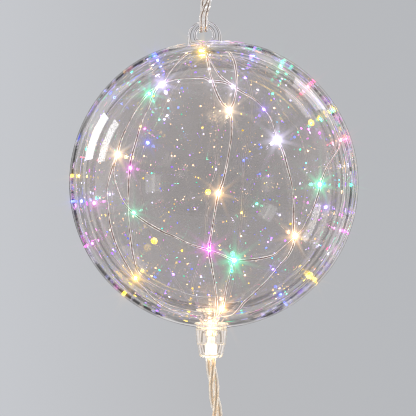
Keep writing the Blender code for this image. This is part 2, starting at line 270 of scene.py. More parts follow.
def smooth_route(points, spacing):
    ends = [2 * points[0] - points[1], *points, 2 * points[-1] - points[-2]]
    fine = []
    for a, b, c, d in zip(ends, ends[1:], ends[2:], ends[3:]):
        for k in range(24):
            t = k / 24
            fine.append(
                0.5
                * (
                    2 * b
                    + (c - a) * t
                    + (2 * a - 5 * b + 4 * c - d) * t * t
                    + (3 * b - a - 3 * c + d) * t**3
                )
            )
    fine.append(points[-1])
    lengths = [0.0]
    for a, b in zip(fine, fine[1:]):
        lengths.append(lengths[-1] + (b - a).length)
    count = max(2, round(lengths[-1] / spacing))
    route, at = [], 0
    for k in range(count + 1):
        wanted = lengths[-1] * k / count
        while at < len(fine) - 2 and lengths[at + 1] < wanted:
            at += 1
        span = max(lengths[at + 1] - lengths[at], 1e-12)
        route.append(fine[at].lerp(fine[at + 1], (wanted - lengths[at]) / span))
    return route


def frames_along(points, first=Vector((1, 0, 0))):
    """For each point, two directions across the route, carried along without twist."""
    out = []
    across = first
    for k, p in enumerate(points):
        way = points[min(k + 1, len(points) - 1)] - points[max(k - 1, 0)]
        way.normalize()
        across = (across - way * across.dot(way)).normalized()
        out.append((across, way.cross(across)))
    return out


class Soup:
    """Gathers tubes into one mesh."""

    def __init__(self):
        self.vertices, self.faces, self.indices = [], [], []

    def tube(self, points, radius, sides, index=0, closed_ends=True):
        radii = radius if isinstance(radius, (list, tuple)) else [radius] * len(points)
        base = len(self.vertices)
        for p, r, (a, b) in zip(points, radii, frames_along(points)):
            for j in range(sides):
                t = 2 * math.pi * j / sides
                self.vertices.append(p + (a * math.cos(t) + b * math.sin(t)) * r)
        for k in range(len(points) - 1):
            for j in range(sides):
                i, n = base + k * sides, base + (k + 1) * sides
                after = (j + 1) % sides
                self.faces.append((i + j, i + after, n + after, n + j))
                self.indices.append(index)
        if closed_ends:
            self.faces.append(tuple(range(base + sides - 1, base - 1, -1)))
            last = base + (len(points) - 1) * sides
            self.faces.append(tuple(range(last, last + sides)))
            self.indices += [index, index]

    def piece(self, name, materials, sharp=35):
        return mesh_piece(
            name, self.vertices, self.faces, materials, self.indices, sharp
        )


def twisted(points, count, offset, pitch, phase=0.0):
    """The lines of count strands that wind round the route."""
    frames = frames_along(points)
    lines = [[] for _ in range(count)]
    gone = 0.0
    for k, (p, (a, b)) in enumerate(zip(points, frames)):
        if k:
            gone += (p - points[k - 1]).length
        for n in range(count):
            t = phase + 2 * math.pi * (n / count + gone / pitch)
            lines[n].append(p + (a * math.cos(t) + b * math.sin(t)) * offset)
    return lines


# ------------------------------------------------------------ looks
ball_plastic = clear_plastic("ball_clear", (0.950, 0.932, 0.922), ior=1.56, wave=0.008, rough=(0.0, 0.004))
inner_plastic = clear_plastic("inner_ball_clear", (0.950, 0.932, 0.922), ior=1.56, wave=0.008, rough=(0.0, 0.004))
# the ring, collar, lead sheath and cord carry a faint painted glow through lit
ring_plastic = clear_plastic(
    "ring_clear", (0.985, 0.97, 0.975), wave=0.12, scale=180.0, gleam=(1.0, 0.94, 1.0), lit=((1.0, 0.94, 1.0), 0.03)
)
collar_plastic = clear_plastic(
    "collar_clear", (0.99, 0.97, 0.95), wave=0.10, scale=180.0, gleam=(1.0, 0.94, 0.88), lit=((1.0, 0.86, 0.70), 0.05)
)
sheath_plastic = clear_plastic(
    "sheath_clear", (0.98, 0.95, 0.90), ior=1.40, wave=0.05, rough=(0.01, 0.05), scale=400.0,
    gleam=(1.0, 0.92, 0.82), lit=((1.0, 0.86, 0.68), 0.12),
)
cord_plastic = clear_plastic(
    "cord_clear", (0.98, 0.965, 0.95), ior=1.40, wave=0.04, rough=(0.01, 0.05), scale=400.0,
    gleam=(1.0, 0.96, 0.93), lit=((1.0, 0.93, 0.87), 0.07),
)


def core_metal(name, colour, dark):
    made, nodes, links, shader = new_material(name)
    set_values(shader, Metallic=0.85, Roughness=0.38)
    noise = add_bump(
        nodes, links, shader, 900.0, 0.12, 0.0001, detail=3.0, stretch=(1.0, 1.0, 0.35)
    )
    ramp = nodes.new("ShaderNodeValToRGB")
    ramp.color_ramp.elements[0].position = 0.3
    ramp.color_ramp.elements[0].color = (*dark, 1.0)
    ramp.color_ramp.elements[1].position = 0.7
    ramp.color_ramp.elements[1].color = (*colour, 1.0)
    links.new(noise.outputs["Fac"], ramp.inputs["Fac"])
    links.new(ramp.outputs["Color"], shader.inputs["Base Color"])
    vary_roughness(nodes, links, shader, noise, 0.28, 0.5)
    return made


lead_core = core_metal("lead_core_copper", (0.95, 0.84, 0.70), (0.74, 0.62, 0.50))
cord_core = core_metal("cord_core_brown", (0.62, 0.48, 0.38), (0.36, 0.25, 0.18))


def wire_with_painted_glow(name):
    """Bright silvered wire with painted light on it: an emitted glow along it, uneven by noise, tinted with the painted
    light of the droplets near it.
    """
    made, nodes, links, shader = new_material(name)
    set_values(
        shader,
        Base_Color=(0.93, 0.86, 0.82),
        Metallic=0.55,
        Roughness=0.32,
        Emission_Strength=1.0,
    )
    noise = add_bump(nodes, links, shader, 700.0, 0.3, 0.0001, detail=3.0)
    # painted light: the emission colour is the wire's painted glow and the droplets' painted light, from the colour
    # attribute, scaled by noise into brighter and dimmer stretches
    near = nodes.new("ShaderNodeAttribute")
    near.attribute_name = "near_light"
    painted_glimmer = nodes.new("ShaderNodeMapRange")
    painted_glimmer.inputs["From Min"].default_value = 0.35
    painted_glimmer.inputs["From Max"].default_value = 0.70
    painted_glimmer.inputs["To Min"].default_value = 0.25
    painted_glimmer.inputs["To Max"].default_value = 1.6
    links.new(noise.outputs["Fac"], painted_glimmer.inputs["Value"])
    scale = nodes.new("ShaderNodeVectorMath")
    scale.operation = "SCALE"
    links.new(near.outputs["Color"], scale.inputs[0])
    links.new(painted_glimmer.outputs["Result"], scale.inputs["Scale"])
    links.new(scale.outputs["Vector"], shader.inputs["Emission Color"])
    vary_roughness(nodes, links, shader, noise, 0.25, 0.40)
    made.cycles.emission_sampling = "NONE"
    return made


wire_metal_painted_glow = wire_with_painted_glow("light_wire_silver")
wire_dark = core_metal("light_wire_copper", (0.50, 0.26, 0.20), (0.26, 0.12, 0.12))


def moulded(name, colour, shade, rough=(0.28, 0.42), scale=300.0):
    made, nodes, links, shader = new_material(name)
    noise = add_bump(nodes, links, shader, scale, 0.12, 0.0002, detail=4.0)
    ramp = nodes.new("ShaderNodeValToRGB")
    ramp.color_ramp.elements[0].position = 0.35
    ramp.color_ramp.elements[0].color = (*shade, 1.0)
    ramp.color_ramp.elements[1].position = 0.65
    ramp.color_ramp.elements[1].color = (*colour, 1.0)
    links.new(noise.outputs["Fac"], ramp.inputs["Fac"])
    links.new(ramp.outputs["Color"], shader.inputs["Base Color"])
    vary_roughness(nodes, links, shader, noise, *rough)
    return made


tie_white = moulded("tie_white", (0.82, 0.82, 0.80), (0.74, 0.74, 0.72))
connector_white = moulded("connector_white", (0.80, 0.80, 0.79), (0.76, 0.76, 0.75))
ferrule_white = moulded("ferrule_white", (0.86, 0.86, 0.85), (0.78, 0.78, 0.76))
barrel_metal = moulded("barrel_nickel", (0.75, 0.74, 0.72), (0.66, 0.65, 0.63))
barrel_metal.node_tree.nodes["Principled BSDF"].inputs["Metallic"].default_value = 1.0

# ------------------------------------------------------------ lead
LEAD_D = 4.7 * MM
STRAND_R = 1.09 * MM
STRAND_OFFSET = 1.26 * MM
HANK = CENTRE + Vector((2.0, -6.0, -161.7)) * MM
HANK_HALF_LENGTH = 49.7 * MM
HANK_HALF_WAIST = 9.7 * MM
HANK_HALF_FOLD = 21.4 * MM
FOLD_AT = HANK_HALF_LENGTH - HANK_HALF_FOLD
CONNECTOR_AT = HANK + Vector((0.0, -14.8, -20.0)) * MM
PITCH = 4.72 * MM

plug_end = 72.7 * MM
lead_start = CENTRE + Vector(
    (-plug_end * math.sin(NECK_TILT), 0.0, -plug_end * math.cos(NECK_TILT))
)
lead_points = [lead_start]
for height, x in (
    (76.0, -0.95),
    (80.5, -0.50),
    (86.5, 0.19),
    (91.5, 0.76),
    (96.5, 1.33),
    (101.0, 1.80),
    (106.0, 2.15),
    (112.0, 2.30),
    (122.0, 2.20),
    (135.0, 2.05),
    (150.0, 2.00),
    (164.0, 2.00),
):
    share = min(1.0, max(0.0, (height - 87.0) / 25.0))
    back = 6.3 * (1 - math.cos(math.pi * share)) / 2
    lead_points.append(CENTRE + Vector((x, back, -height)) * MM)


def hank_half_width(z):
    share = min(1.0, abs(z) / FOLD_AT)
    return (
        HANK_HALF_WAIST
        + (HANK_HALF_FOLD - HANK_HALF_WAIST) * (1 - math.cos(math.pi * share)) / 2
    )


def hank_point(s, inset, y):
    """A point of one turn. s runs from 0 to 1: bottom fold, left side, top fold, right side."""
    radius = HANK_HALF_FOLD - inset
    arc = math.pi * radius
    side = 2.17 * FOLD_AT
    total = 2 * (arc + side)
    at = (s % 1.0) * total
    if at < arc:
        t = at / arc * math.pi
        x, z = radius * math.cos(t), -FOLD_AT - radius * math.sin(t)
    elif at < arc + side:
        z = -FOLD_AT + 2 * FOLD_AT * (at - arc) / side
        x = -(hank_half_width(z) - inset)
    elif at < 2 * arc + side:
        t = (at - arc - side) / arc * math.pi
        x, z = -radius * math.cos(t), FOLD_AT + radius * math.sin(t)
    else:
        z = FOLD_AT - 2 * FOLD_AT * (at - 2 * arc - side) / side
        x = hank_half_width(z) - inset
    return HANK + Vector((x, y, z))


def ease(t):
    t = min(1.0, max(0.0, t))
    return t * t * (3 - 2 * t)


TURNS = 8
cells = []
for layer in range(4):
    y = (1.5 - layer) * PITCH
    pair = [(LEAD_D / 2, y), (LEAD_D / 2 + PITCH, y)]
    cells += pair if layer % 2 == 0 else pair[::-1]
hank_route = []
steps = 46
for turn in range(TURNS):
    last = turn == TURNS - 1
    for k in range(steps):
        s = k / steps
        if last and s > 0.82:
            break
        inset, y = cells[turn]
        share = ease((s - 0.80) / 0.17)
        if not last and share > 0:
            to_inset, to_y = cells[turn + 1]
            inset += (to_inset - inset) * share
            y += (to_y - y) * share
            swell = math.sin(math.pi * share) * 0.9 * MM
            inset -= swell * (1.4 - (inset - LEAD_D / 2) / PITCH * 2)
        wobble = 0.22 * MM * math.sin(7.3 * turn + 2 * math.pi * 2 * s)
        hank_route.append(hank_point(s, inset + 0.4 * wobble, y + wobble * 0.3))

# the lead goes from behind the waist into the bottom fold's right side
enter = [
    HANK + Vector((2.6, 11.6, -9.0)) * MM,
    HANK + Vector((7.5, 10.4, -14.5)) * MM,
    HANK + Vector((13.6, 8.9, -20.5)) * MM,
]
front = -9.6 * MM - LEAD_D / 2 - 0.3 * MM
leave = [
    HANK + Vector((14.0, -9.3, 24.5)) * MM,
    HANK + Vector((9.0, -11.0, 17.5)) * MM,
    HANK + Vector((3.6, -12.1, 10.8)) * MM,
    HANK + Vector((0.3, front / MM, 4.5)) * MM,
    HANK + Vector((0.0, front / MM, -1.0)) * MM,
    HANK + Vector((0.0, front / MM - 0.5, -8.0)) * MM,
    HANK + Vector((0.0, -14.3, -14.0)) * MM,
    CONNECTOR_AT + Vector((0.0, 0.0, 0.3)) * MM,
]
control = lead_points + enter + hank_route + leave
lead_route = smooth_route(control, 1.5 * MM)

lead = Soup()
lines = twisted(lead_route, 3, STRAND_OFFSET, 38.0 * MM, phase=math.radians(150))
for line in lines:
    lead.tube(line, STRAND_R, 8, 0)
for line in lines:
    lead.tube(line[::2] if len(line) % 2 else line[:-1:2] + [line[-1]], 0.33 * MM, 6, 1)
lead_piece = lead.piece("lead_strands", [sheath_plastic, lead_core], sharp=0)
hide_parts("lead_cord", "lead_hank", "lead_tail")

# connector: strain relief with ribs, grip with ridges, barrel
profile = [(0.0, -0.0), (2.55, 0.0), (2.85, -0.3)]
for k in range(4):
    z = -0.9 - k * 1.25
    r = 2.95 + 0.12 * k
    profile += [(r, z), (r + 0.12, z - 0.25), (r + 0.12, z - 0.6), (r - 0.12, z - 0.8), (r - 0.12, z - 1.0)]
profile += [(3.6, -6.2), (4.1, -6.9), (4.4, -7.6)]
for k in range(5):
    z = -9.0 - k * 1.9
    profile += [(4.4, z), (4.18, z - 0.35), (4.18, z - 0.85), (4.4, z - 1.2)]
profile += [(4.4, -19.4), (4.2, -20.0), (3.6, -20.2), (0.0, -20.2)]
vertices, faces = turned([(r * MM, h * MM) for r, h in rounded(profile, 0.12, 2)], 48)
connector = mesh_piece(
    "connector_body", [CONNECTOR_AT + v for v in vertices], faces, [connector_white]
)
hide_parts("lead_connector")
profile = [
    (0.0, -20.4),
    (2.75, -20.4),
    (2.75, -29.7),
    (2.5, -30.0),
    (1.3, -30.0),
    (1.05, -29.7),
    (1.05, -22.5),
    (0.0, -22.5),
]
vertices, faces = turned([(r * MM, h * MM) for r, h in rounded(profile, 0.12, 3)], 40)
barrel = mesh_piece(
    "connector_barrel", [CONNECTOR_AT + v for v in vertices], faces, [barrel_metal]
)


# tie: a strap drawn round the waist, out round the lead in front and behind
def strap(grow, z_list):
    corner = 1.4
    side, face, run = 9.7 + 0.7 - corner, 9.6 - corner, 9.6 + 0.3 + 2.35
    held = [(x, y, corner) for x in (-side, side) for y in (-face, face)]
    held += [(0.0, y, 2.35) for y in (-run, run)]
    out = []
    for k in range(96):
        angle = 2 * math.pi * (k + 0.5) / 96
        c, s = math.cos(angle), math.sin(angle)
        x, y, r = max(held, key=lambda h: h[0] * c + h[1] * s + h[2])
        for g, z in zip(grow, z_list):
            out.append(HANK + Vector((x + (r + g) * c, y + (r + g) * s, z)) * MM)
    return out


grow = (0.30, 0.30, 0.50, 0.95, 1.12, 1.15, 1.12, 0.95, 0.50)
height = (2.0, -2.0, -2.35, -2.4, -1.9, 0.0, 1.9, 2.4, 2.35)
vertices = strap(grow, height)
count = len(grow)
faces = []
for k in range(96):
    a, b = count * k, count * ((k + 1) % 96)
    for j in range(count):
        after = (j + 1) % count
        faces.append((a + j, a + after, b + after, b + j))
tie = mesh_piece("tie_strap", vertices, faces, [tie_white])
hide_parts("hank_tie")


# ------------------------------------------------------------ hanging cord
STRAND = 0.9 * MM
RING_BASE = 58.1 * MM
RING_CENTRE = 60.7 * MM
RING_OUTER = 7.14 * MM
EYE_CENTRE = 61.9 * MM
EYE_R = 3.15 * MM
RING_DEPTH = 2.1 * MM


def cord_axis(height):
    foot, top = Vector((-4.25, 0.0, 68.0)) * MM, Vector((0.0, 0.0, 100.0)) * MM
    share = (height - foot.z) / (top.z - foot.z)
    return CENTRE + foot.lerp(top, share)


def cord_run(side, face):
    """From the bottom of a strand's bend in the eye, up one face of the ring, to the ferrule."""
    x = -4.32 * MM + side * 0.93 * MM
    across = x + EYE_CENTRE * math.sin(RING_TILT)
    crown = EYE_CENTRE * math.cos(RING_TILT) + math.sqrt(EYE_R**2 - across**2)
    low = crown - 0.25 * MM - STRAND
    out = RING_DEPTH + 0.2 * MM + STRAND
    start = 0.5 * math.pi * (1 if side > 0 else 0) + (0.15 if face < 0 else 0.15)
    points = [
        Vector((x, 0.0, low)),
        Vector((x, 0.62 * face * out, low + 0.55 * MM)),
        Vector((x, face * out, 65.7 * MM)),
        Vector((x, face * out, 67.3 * MM)),
        Vector((x + 0.05 * MM, face * 2.5 * MM, 69.2 * MM)),
    ]
    points = [CENTRE + p for p in points]
    turn0 = math.atan2(face * 1.25, side * 1.0)
    for k in range(12):
        z = 71.0 * MM + (FERRULE_LOW + 1.0 * MM - 71.0 * MM) * k / 11
        t = turn0 + (z - 71.0 * MM) / (15.0 * MM) * math.pi
        c = cord_axis(z)
        r = 1.32 * MM
        points.append(c + Vector((math.cos(t) * r, math.sin(t) * r, 0.0)))
    return points


FERRULE_LOW = 82.5 * MM
FERRULE_HIGH = 88.5 * MM
for side, word in ((-1, "left"), (1, "right")):
    run = cord_run(side, -1)[::-1][:-1] + cord_run(side, 1)
    line = smooth_route(run, 0.55 * MM)
    hang = Soup()
    hang.tube(line, STRAND, 12, 0)
    hang.tube(line[::2] if len(line) % 2 else line[:-1:2] + [line[-1]], 0.16 * MM, 8, 1)
    made = hang.piece(f"strand_{word}", [cord_plastic, cord_core], sharp=0)
    if side < 0:
        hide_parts("hanging_strand_left", "hanging_cord")
    else:
        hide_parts("hanging_strand_right", "hanging_cord")

length = FERRULE_HIGH - FERRULE_LOW
profile = [(0.0, 0.0), (0.86, 0.0), (1.0, 0.06), (1.0, 0.30), (0.88, 0.38), (0.88, 0.62), (1.0, 0.70), (1.0, 0.94), (0.86, 1.0), (0.0, 1.0)]
vertices, faces = turned(
    rounded([(r * 2.9 * MM, h * length) for r, h in profile], 0.35 * MM, 3), 48
)
way = cord_axis(1.0) - cord_axis(0.0)
lean = Vector((0.0, 0.0, 1.0)).rotation_difference(way).to_matrix()
ferrule = mesh_piece(
    "ferrule", [cord_axis(FERRULE_LOW) + lean @ v for v in vertices], faces, [ferrule_white]
)
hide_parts("cord_ferrule")

foot = cord_axis(FERRULE_HIGH + 0.05 * MM) - CENTRE
top = Vector((0.0, 0.0, 101.1 * MM))
right, left = [], []
for across, up in ((1.35, 0.0), (1.35, 0.10), (2.0, 0.24), (3.3, 0.42), (4.2, 0.62), (3.7, 0.82), (2.0, 0.96)):
    middle = Vector((foot.x + (top.x - foot.x) * up, 0.0, foot.z + (top.z - foot.z) * up))
    right.append(CENTRE + middle + Vector((across * MM, 0.0, 0.0)))
    left.append(CENTRE + middle - Vector((across * MM, 0.0, 0.0)))
loop_line = smooth_route(right + [CENTRE + top] + left[::-1], 0.5 * MM)
loop = Soup()
loop.tube(loop_line, 1.08 * MM, 16, 0)
loop.tube(loop_line, 0.5 * MM, 8, 1)
loop_piece = loop.piece("loop_strand", [cord_plastic, cord_core], sharp=0)
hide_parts("hanging_loop")

# ------------------------------------------------------------ balls
ring_way = Vector((-math.sin(RING_TILT), 0.0, math.cos(RING_TILT)))
TURN = math.pi + NECK_TILT


def flatten_crown(vertices, axis):
    shaped = []
    for v in vertices:
        angle = math.degrees(v.angle(axis)) if v.length > 0 else 180.0
        dip = 2.3 * MM * math.exp(-((angle / 13.0) ** 2))
        shaped.append(v - v.normalized() * dip)
    return shaped


def thicken(vertices, neck, crown):
    """Thickens the wall in a belt around the outline that the picture shows, most at the right.

    The belt stands for the lines that the rim shows from that side; the wall is even elsewhere.
    """
    shaped = []
    for v in vertices:
        w = v.normalized()
        clear = ease((math.degrees(v.angle(neck)) - 14.0) / 26.0) if v.length else 0.0
        clear *= ease((math.degrees(v.angle(crown)) - 12.0) / 26.0)
        more = 0.80 + 0.72 * w.x + 0.20 * math.sin(3.0 * math.atan2(w.x, w.z) + 0.8)
        lip = 1.0 - ease((abs(w.y + 0.04 * w.x) - 0.10) / 0.24)
        shaped.append(v - w * max(0.0, more) * clear * lip * MM)
    return shaped


def make_outer_ball():
    slope = math.asin(9.0 / 60.0)
    outer = arc_profile(BALL_R, 9.0 * MM, 150)
    start = outer[-1]
    pull = 3.6 * MM
    outer += bezier(
        start,
        (start[0] - pull * math.cos(slope), start[1] + pull * math.sin(slope)),
        (2.4 * MM, 60.9 * MM),
        (2.4 * MM, 64.6 * MM),
        24,
    )
    outer.append((2.4 * MM, 66.2 * MM))
    inner = arc_profile(BALL_R - BALL_WALL, 8.9 * MM, 150)
    start = inner[-1]
    inner += bezier(
        start,
        (start[0] - pull * math.cos(slope), start[1] + pull * math.sin(slope)),
        (1.6 * MM, 60.3 * MM),
        (1.6 * MM, 64.6 * MM),
        24,
    )
    inner.append((1.6 * MM, 66.2 * MM))
    vertices, faces = turned(outer + inner[::-1], 192)
    local = Matrix.Rotation(-TURN, 3, "Y") @ ring_way
    first_inner = 1 + 192 * (len(outer) - 1)
    world_side = Matrix.Rotation(TURN, 3, "Y")
    inside = [world_side @ v for v in vertices[first_inner:]]
    inside = thicken(inside, world_side @ Vector((0, 0, 1)), ring_way)
    vertices[first_inner:] = [world_side.transposed() @ v for v in inside]
    vertices = turn_y(flatten_crown(vertices, local), TURN)
    made = mesh_piece("ball_outer_shell", vertices, faces, [ball_plastic], sharp=50)
    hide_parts("outer_ball")
    return made


def make_inner_ball():
    pull = 1.6 * MM
    outer = arc_profile(INNER_R, 6.0 * MM, 130)
    start = outer[-1]
    outer += bezier(
        start,
        (start[0] - pull, start[1] + 0.15 * MM),
        (3.2 * MM, 54.4 * MM),
        (3.2 * MM, 56.2 * MM),
        10,
    )
    outer.append((3.2 * MM, 59.4 * MM))
    inner = arc_profile(INNER_R - INNER_WALL, 5.4 * MM, 130)
    start = inner[-1]
    inner += bezier(
        start,
        (start[0] - pull, start[1] + 0.15 * MM),
        (2.4 * MM, 53.8 * MM),
        (2.4 * MM, 56.2 * MM),
        10,
    )
    inner.append((2.4 * MM, 59.4 * MM))
    vertices, faces = turned(outer + inner[::-1], 180)
    made = mesh_piece(
        "ball_inner_shell", turn_y(vertices, TURN), faces, [inner_plastic], sharp=50
    )
    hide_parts("inner_ball")
    return made


make_outer_ball()
make_inner_ball()


# ------------------------------------------------------------ ring
def ring_reach(angle):
    across, up = math.sin(angle), math.cos(angle)
    drop = RING_CENTRE - EYE_CENTRE
    dot = up * drop
    round_top = dot + math.sqrt(dot * dot - drop * drop + RING_OUTER**2)
    side = RING_OUTER / abs(across) if abs(across) > 1e-6 else 1.0
    if EYE_CENTRE + round_top * up < RING_CENTRE:
        round_top = side
    foot = (EYE_CENTRE - RING_BASE) / -up if up < -1e-6 else 1.0
    power = 22.0
    return (round_top**-power + foot**-power) ** (-1 / power)


def make_ring():
    around, across = 160, 40
    vertices, faces = [], []
    for k in range(around):
        angle = 2 * math.pi * k / around
        reach = ring_reach(angle)
        middle, half = (reach + EYE_R) / 2, (reach - EYE_R) / 2
        for j in range(across):
            t = 2 * math.pi * j / across
            c, s = math.cos(t), math.sin(t)
            out = middle + half * math.copysign(abs(c) ** 0.8, c)
            deep = RING_DEPTH * math.copysign(abs(s) ** 0.8, s)
            vertices.append(
                Vector((out * math.sin(angle), deep, EYE_CENTRE + out * math.cos(angle)))
            )
    for k in range(around):
        for j in range(across):
            a, b = k * across, ((k + 1) % around) * across
            after = (j + 1) % across
            faces.append((a + j, a + after, b + after, b + j))
    made = mesh_piece(
        "ring_eye", turn_y(vertices, -RING_TILT), faces, [ring_plastic], sharp=60
    )
    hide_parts("hanging_ring")


make_ring()


# ------------------------------------------------------------ neck
def painted_glow_finish(name, strength):
    """Milky plastic with a painted warm glow, as if lit from inside, a little uneven."""
    made, nodes, links, shader = new_material(name)
    coord = nodes.new("ShaderNodeTexCoord")
    noise = nodes.new("ShaderNodeTexNoise")
    noise.inputs["Scale"].default_value = 420.0
    links.new(coord.outputs["Object"], noise.inputs["Vector"])
    ramp = nodes.new("ShaderNodeValToRGB")
    ramp.color_ramp.elements[0].position = 0.38
    ramp.color_ramp.elements[0].color = (0.86, 0.62, 0.34, 1.0)
    ramp.color_ramp.elements[1].position = 0.60
    ramp.color_ramp.elements[1].color = (1.0, 0.90, 0.64, 1.0)
    links.new(noise.outputs["Fac"], ramp.inputs["Fac"])
    links.new(ramp.outputs["Color"], shader.inputs["Emission Color"])
    set_values(
        shader,
        Base_Color=(0.95, 0.88, 0.72),
        Roughness=0.35,
        Emission_Strength=float(strength),
    )
    return made


def make_neck():
    profile = [
        (6.30, 60.30),
        (6.60, 60.75),
        (6.20, 66.00),
        (6.03, 66.15),
        (4.95, 71.30),
        (4.70, 71.90),
        (4.20, 72.20),
        (3.05, 72.20),
        (3.05, 71.10),
        (3.60, 71.00),
        (3.95, 70.50),
        (4.85, 66.60),
        (5.25, 66.20),
        (5.45, 60.80),
        (6.30, 60.30),
    ]
    shape = rounded(profile, 0.25, 3)[:-1]
    vertices, faces = turned([(r * MM, h * MM) for r, h in shape], 96)
    made = mesh_piece(
        "collar_cup", turn_y(vertices, TURN), faces, [collar_plastic], sharp=50
    )
    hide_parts("neck_collar")

    # diffuser that lines the trumpet, with a painted warm glow
    slope = math.asin(9.0 / 60.0)
    line = bezier(
        (8.7, 58.45),
        (8.7 - 3.6 * math.cos(slope), 58.45 + 3.6 * math.sin(slope)),
        (1.42, 60.15),
        (1.42, 63.5),
        16,
    )
    line = [p for p in line if p[0] < 7.6]
    shape = [(max(1.54, r - 0.10), h - 0.14) for r, h in line]
    shape += [(max(0.6, r - 0.5), h - 0.62) for r, h in line[::-1]]
    vertices, faces = turned([(r * MM, h * MM) for r, h in shape], 96)
    made = mesh_piece(
        "neck_diffuser", turn_y(vertices, TURN), faces, [painted_glow_finish("diffuser_lit", 1.5)], sharp=50
    )

    profile = [
        (0.0, 63.6),
        (1.2, 63.6),
        (1.54, 63.9),
        (1.54, 66.5),
        (2.45, 66.5),
        (2.45, 70.6),
        (2.75, 70.9),
        (2.75, 72.1),
        (2.5, 72.4),
        (0.0, 72.4),
    ]
    vertices, faces = turned(
        [(r * MM, h * MM) for r, h in rounded(profile, 0.15, 3)], 64
    )
    # the plug column carries the same painted warm glow
    made = mesh_piece("plug_column", turn_y(vertices, TURN), faces, [painted_glow_finish("plug_lit", 1.6)], sharp=40)
    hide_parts("lead_plug")


make_neck()

# ------------------------------------------------------------ light string
COLOURS = {
    "warm": ((1.0, 0.90, 0.74), (1.0, 0.50, 0.18)),
    "white": ((0.90, 0.88, 1.0), (0.55, 0.50, 1.0)),
    "green": ((0.16, 1.0, 0.62), (0.0, 0.72, 0.34)),
    "blue": ((0.24, 0.32, 1.0), (0.03, 0.06, 1.0)),
    "violet": ((0.50, 0.32, 1.0), (0.22, 0.05, 1.0)),
    "magenta": ((1.0, 0.34, 0.92), (0.74, 0.02, 0.72)),
    "yellow": ((1.0, 0.82, 0.26), (1.0, 0.58, 0.01)),
    "pink": ((1.0, 0.28, 0.46), (1.0, 0.03, 0.18)),
    "cyan": ((0.22, 0.86, 1.0), (0.02, 0.52, 0.86)),
}
# picture place, colour, radius in mm, strength class, on the far side or not
LIGHTS = [
    (162, 85, "white", 1.25, 3, 0),
    (149.3, 94.3, "green", 1.05, 3, 0),
    (118.5, 155, "warm", 1.20, 3, 0),
    (148, 143, "blue", 1.00, 2, 0),
    (131, 168, "magenta", 1.00, 2, 0),
    (134.2, 212.6, "green", 1.00, 2, 0),
    (82, 201, "blue", 1.00, 2, 0),
    (95, 203, "magenta", 1.00, 2, 0),
    (79, 176, "yellow", 0.85, 2, 0),
    (153, 242, "yellow", 1.75, 1, 1),
    (136.4, 277.6, "yellow", 1.15, 3, 0),
    (172.2, 276.5, "violet", 0.90, 2, 1),
    (192, 291, "yellow", 0.55, 1, 1),
    (208, 192, "yellow", 1.45, 1, 1),
    (218.4, 193.6, "warm", 1.15, 3, 0),
    (209.2, 249, "magenta", 1.15, 3, 0),
    (234.2, 259.8, "green", 1.35, 3, 0),
    (231.5, 270.5, "green", 0.85, 2, 0),
    (222, 308, "warm", 1.30, 3, 0),
    (228.7, 110.8, "warm", 1.20, 3, 0),
    (277, 140, "white", 1.35, 3, 0),
    (232.5, 87, "white", 0.90, 2, 0),
    (263.4, 109.7, "violet", 0.85, 2, 0),
    (246, 75, "violet", 0.95, 2, 1),
    (254.8, 52.2, "blue", 0.90, 2, 0),
    (281.3, 65.2, "green", 1.10, 2, 0),
    (310.6, 84.2, "pink", 0.95, 2, 0),
    (314, 121, "yellow", 1.85, 1, 1),
    (340.5, 140, "pink", 0.95, 2, 0),
    (319, 184.4, "green", 1.20, 3, 0),
    (294.4, 236, "warm", 1.25, 3, 0),
    (325, 207, "violet", 0.95, 2, 0),
    (310, 276, "yellow", 1.85, 1, 1),
    (280, 294, "blue", 0.90, 2, 0),
    (242, 213, "yellow", 0.65, 2, 1),
    (257.5, 204, "green", 0.80, 2, 1),
    (216, 169, "white", 0.60, 1, 1),
    (157, 59, "blue", 0.95, 2, 0),
    (115, 98, "blue", 0.80, 2, 0),
    (158, 118.5, "green", 0.70, 2, 1),
    (274, 91.5, "green", 0.75, 2, 1),
    (244, 160, "blue", 0.70, 2, 1),
    (308, 162.5, "cyan", 0.55, 1, 1),
    (300, 131, "green", 0.55, 1, 1),
    (302, 148.8, "green", 0.55, 1, 1),
    (210.4, 82, "white", 0.60, 2, 0),
    (89, 245, "magenta", 0.85, 2, 0),
    (345, 232, "magenta", 0.85, 2, 0),
    (177.5, 106, "blue", 0.55, 1, 1),
    (201.5, 50.0, "yellow", 1.7, 3, 0),
]
STRENGTH = {1: 3.4, 2: 9.0, 3: 17.0}
glow_materials = {}


def glow_of(colour, level):
    key = (colour, level)
    if key not in glow_materials:
        core, edge = COLOURS[colour]
        glow_materials[key] = glow(f"light_{colour}_{level}", core, edge, STRENGTH[level])
    return glow_materials[key]


def lump(centre, radius, detail=2, squash=None, way=None):
    work = bmesh.new()
    bmesh.ops.create_icosphere(work, subdivisions=detail, radius=radius)
    vertices = [v.co.copy() for v in work.verts]
    faces = [tuple(v.index for v in f.verts) for f in work.faces]
    work.free()
    if squash and way is not None:
        turn = Vector((0, 0, 1)).rotation_difference(way).to_matrix()
        vertices = [
            turn @ Vector((v.x * squash[0], v.y * squash[1], v.z * squash[2]))
            for v in vertices
        ]
    return [centre + v for v in vertices], faces


# each light's place, colour and strength, kept to paint its light onto the wires near it
LIT = []
for n, (u, v, colour, size, level, back) in enumerate(LIGHTS):
    near_crown = v < 53
    place = on_ball(u, v, (55.5 if near_crown else 56.2) * MM, bool(back))
    out = (place - CENTRE).normalized()
    r = size * (0.86 if level == 1 else 0.70) * MM
    vertices, faces = lump(place, r, 3, (1.0, 1.0, 0.55 if near_crown else 0.85), out)
    LIT.append((np.array(place), np.array(COLOURS[colour][1]), 0.16 * STRENGTH[level] ** 0.8))
    piece = mesh_piece(
        f"light_{n + 1:02d}_{colour}", vertices, faces, [glow_of(colour, level)], sharp=0
    )
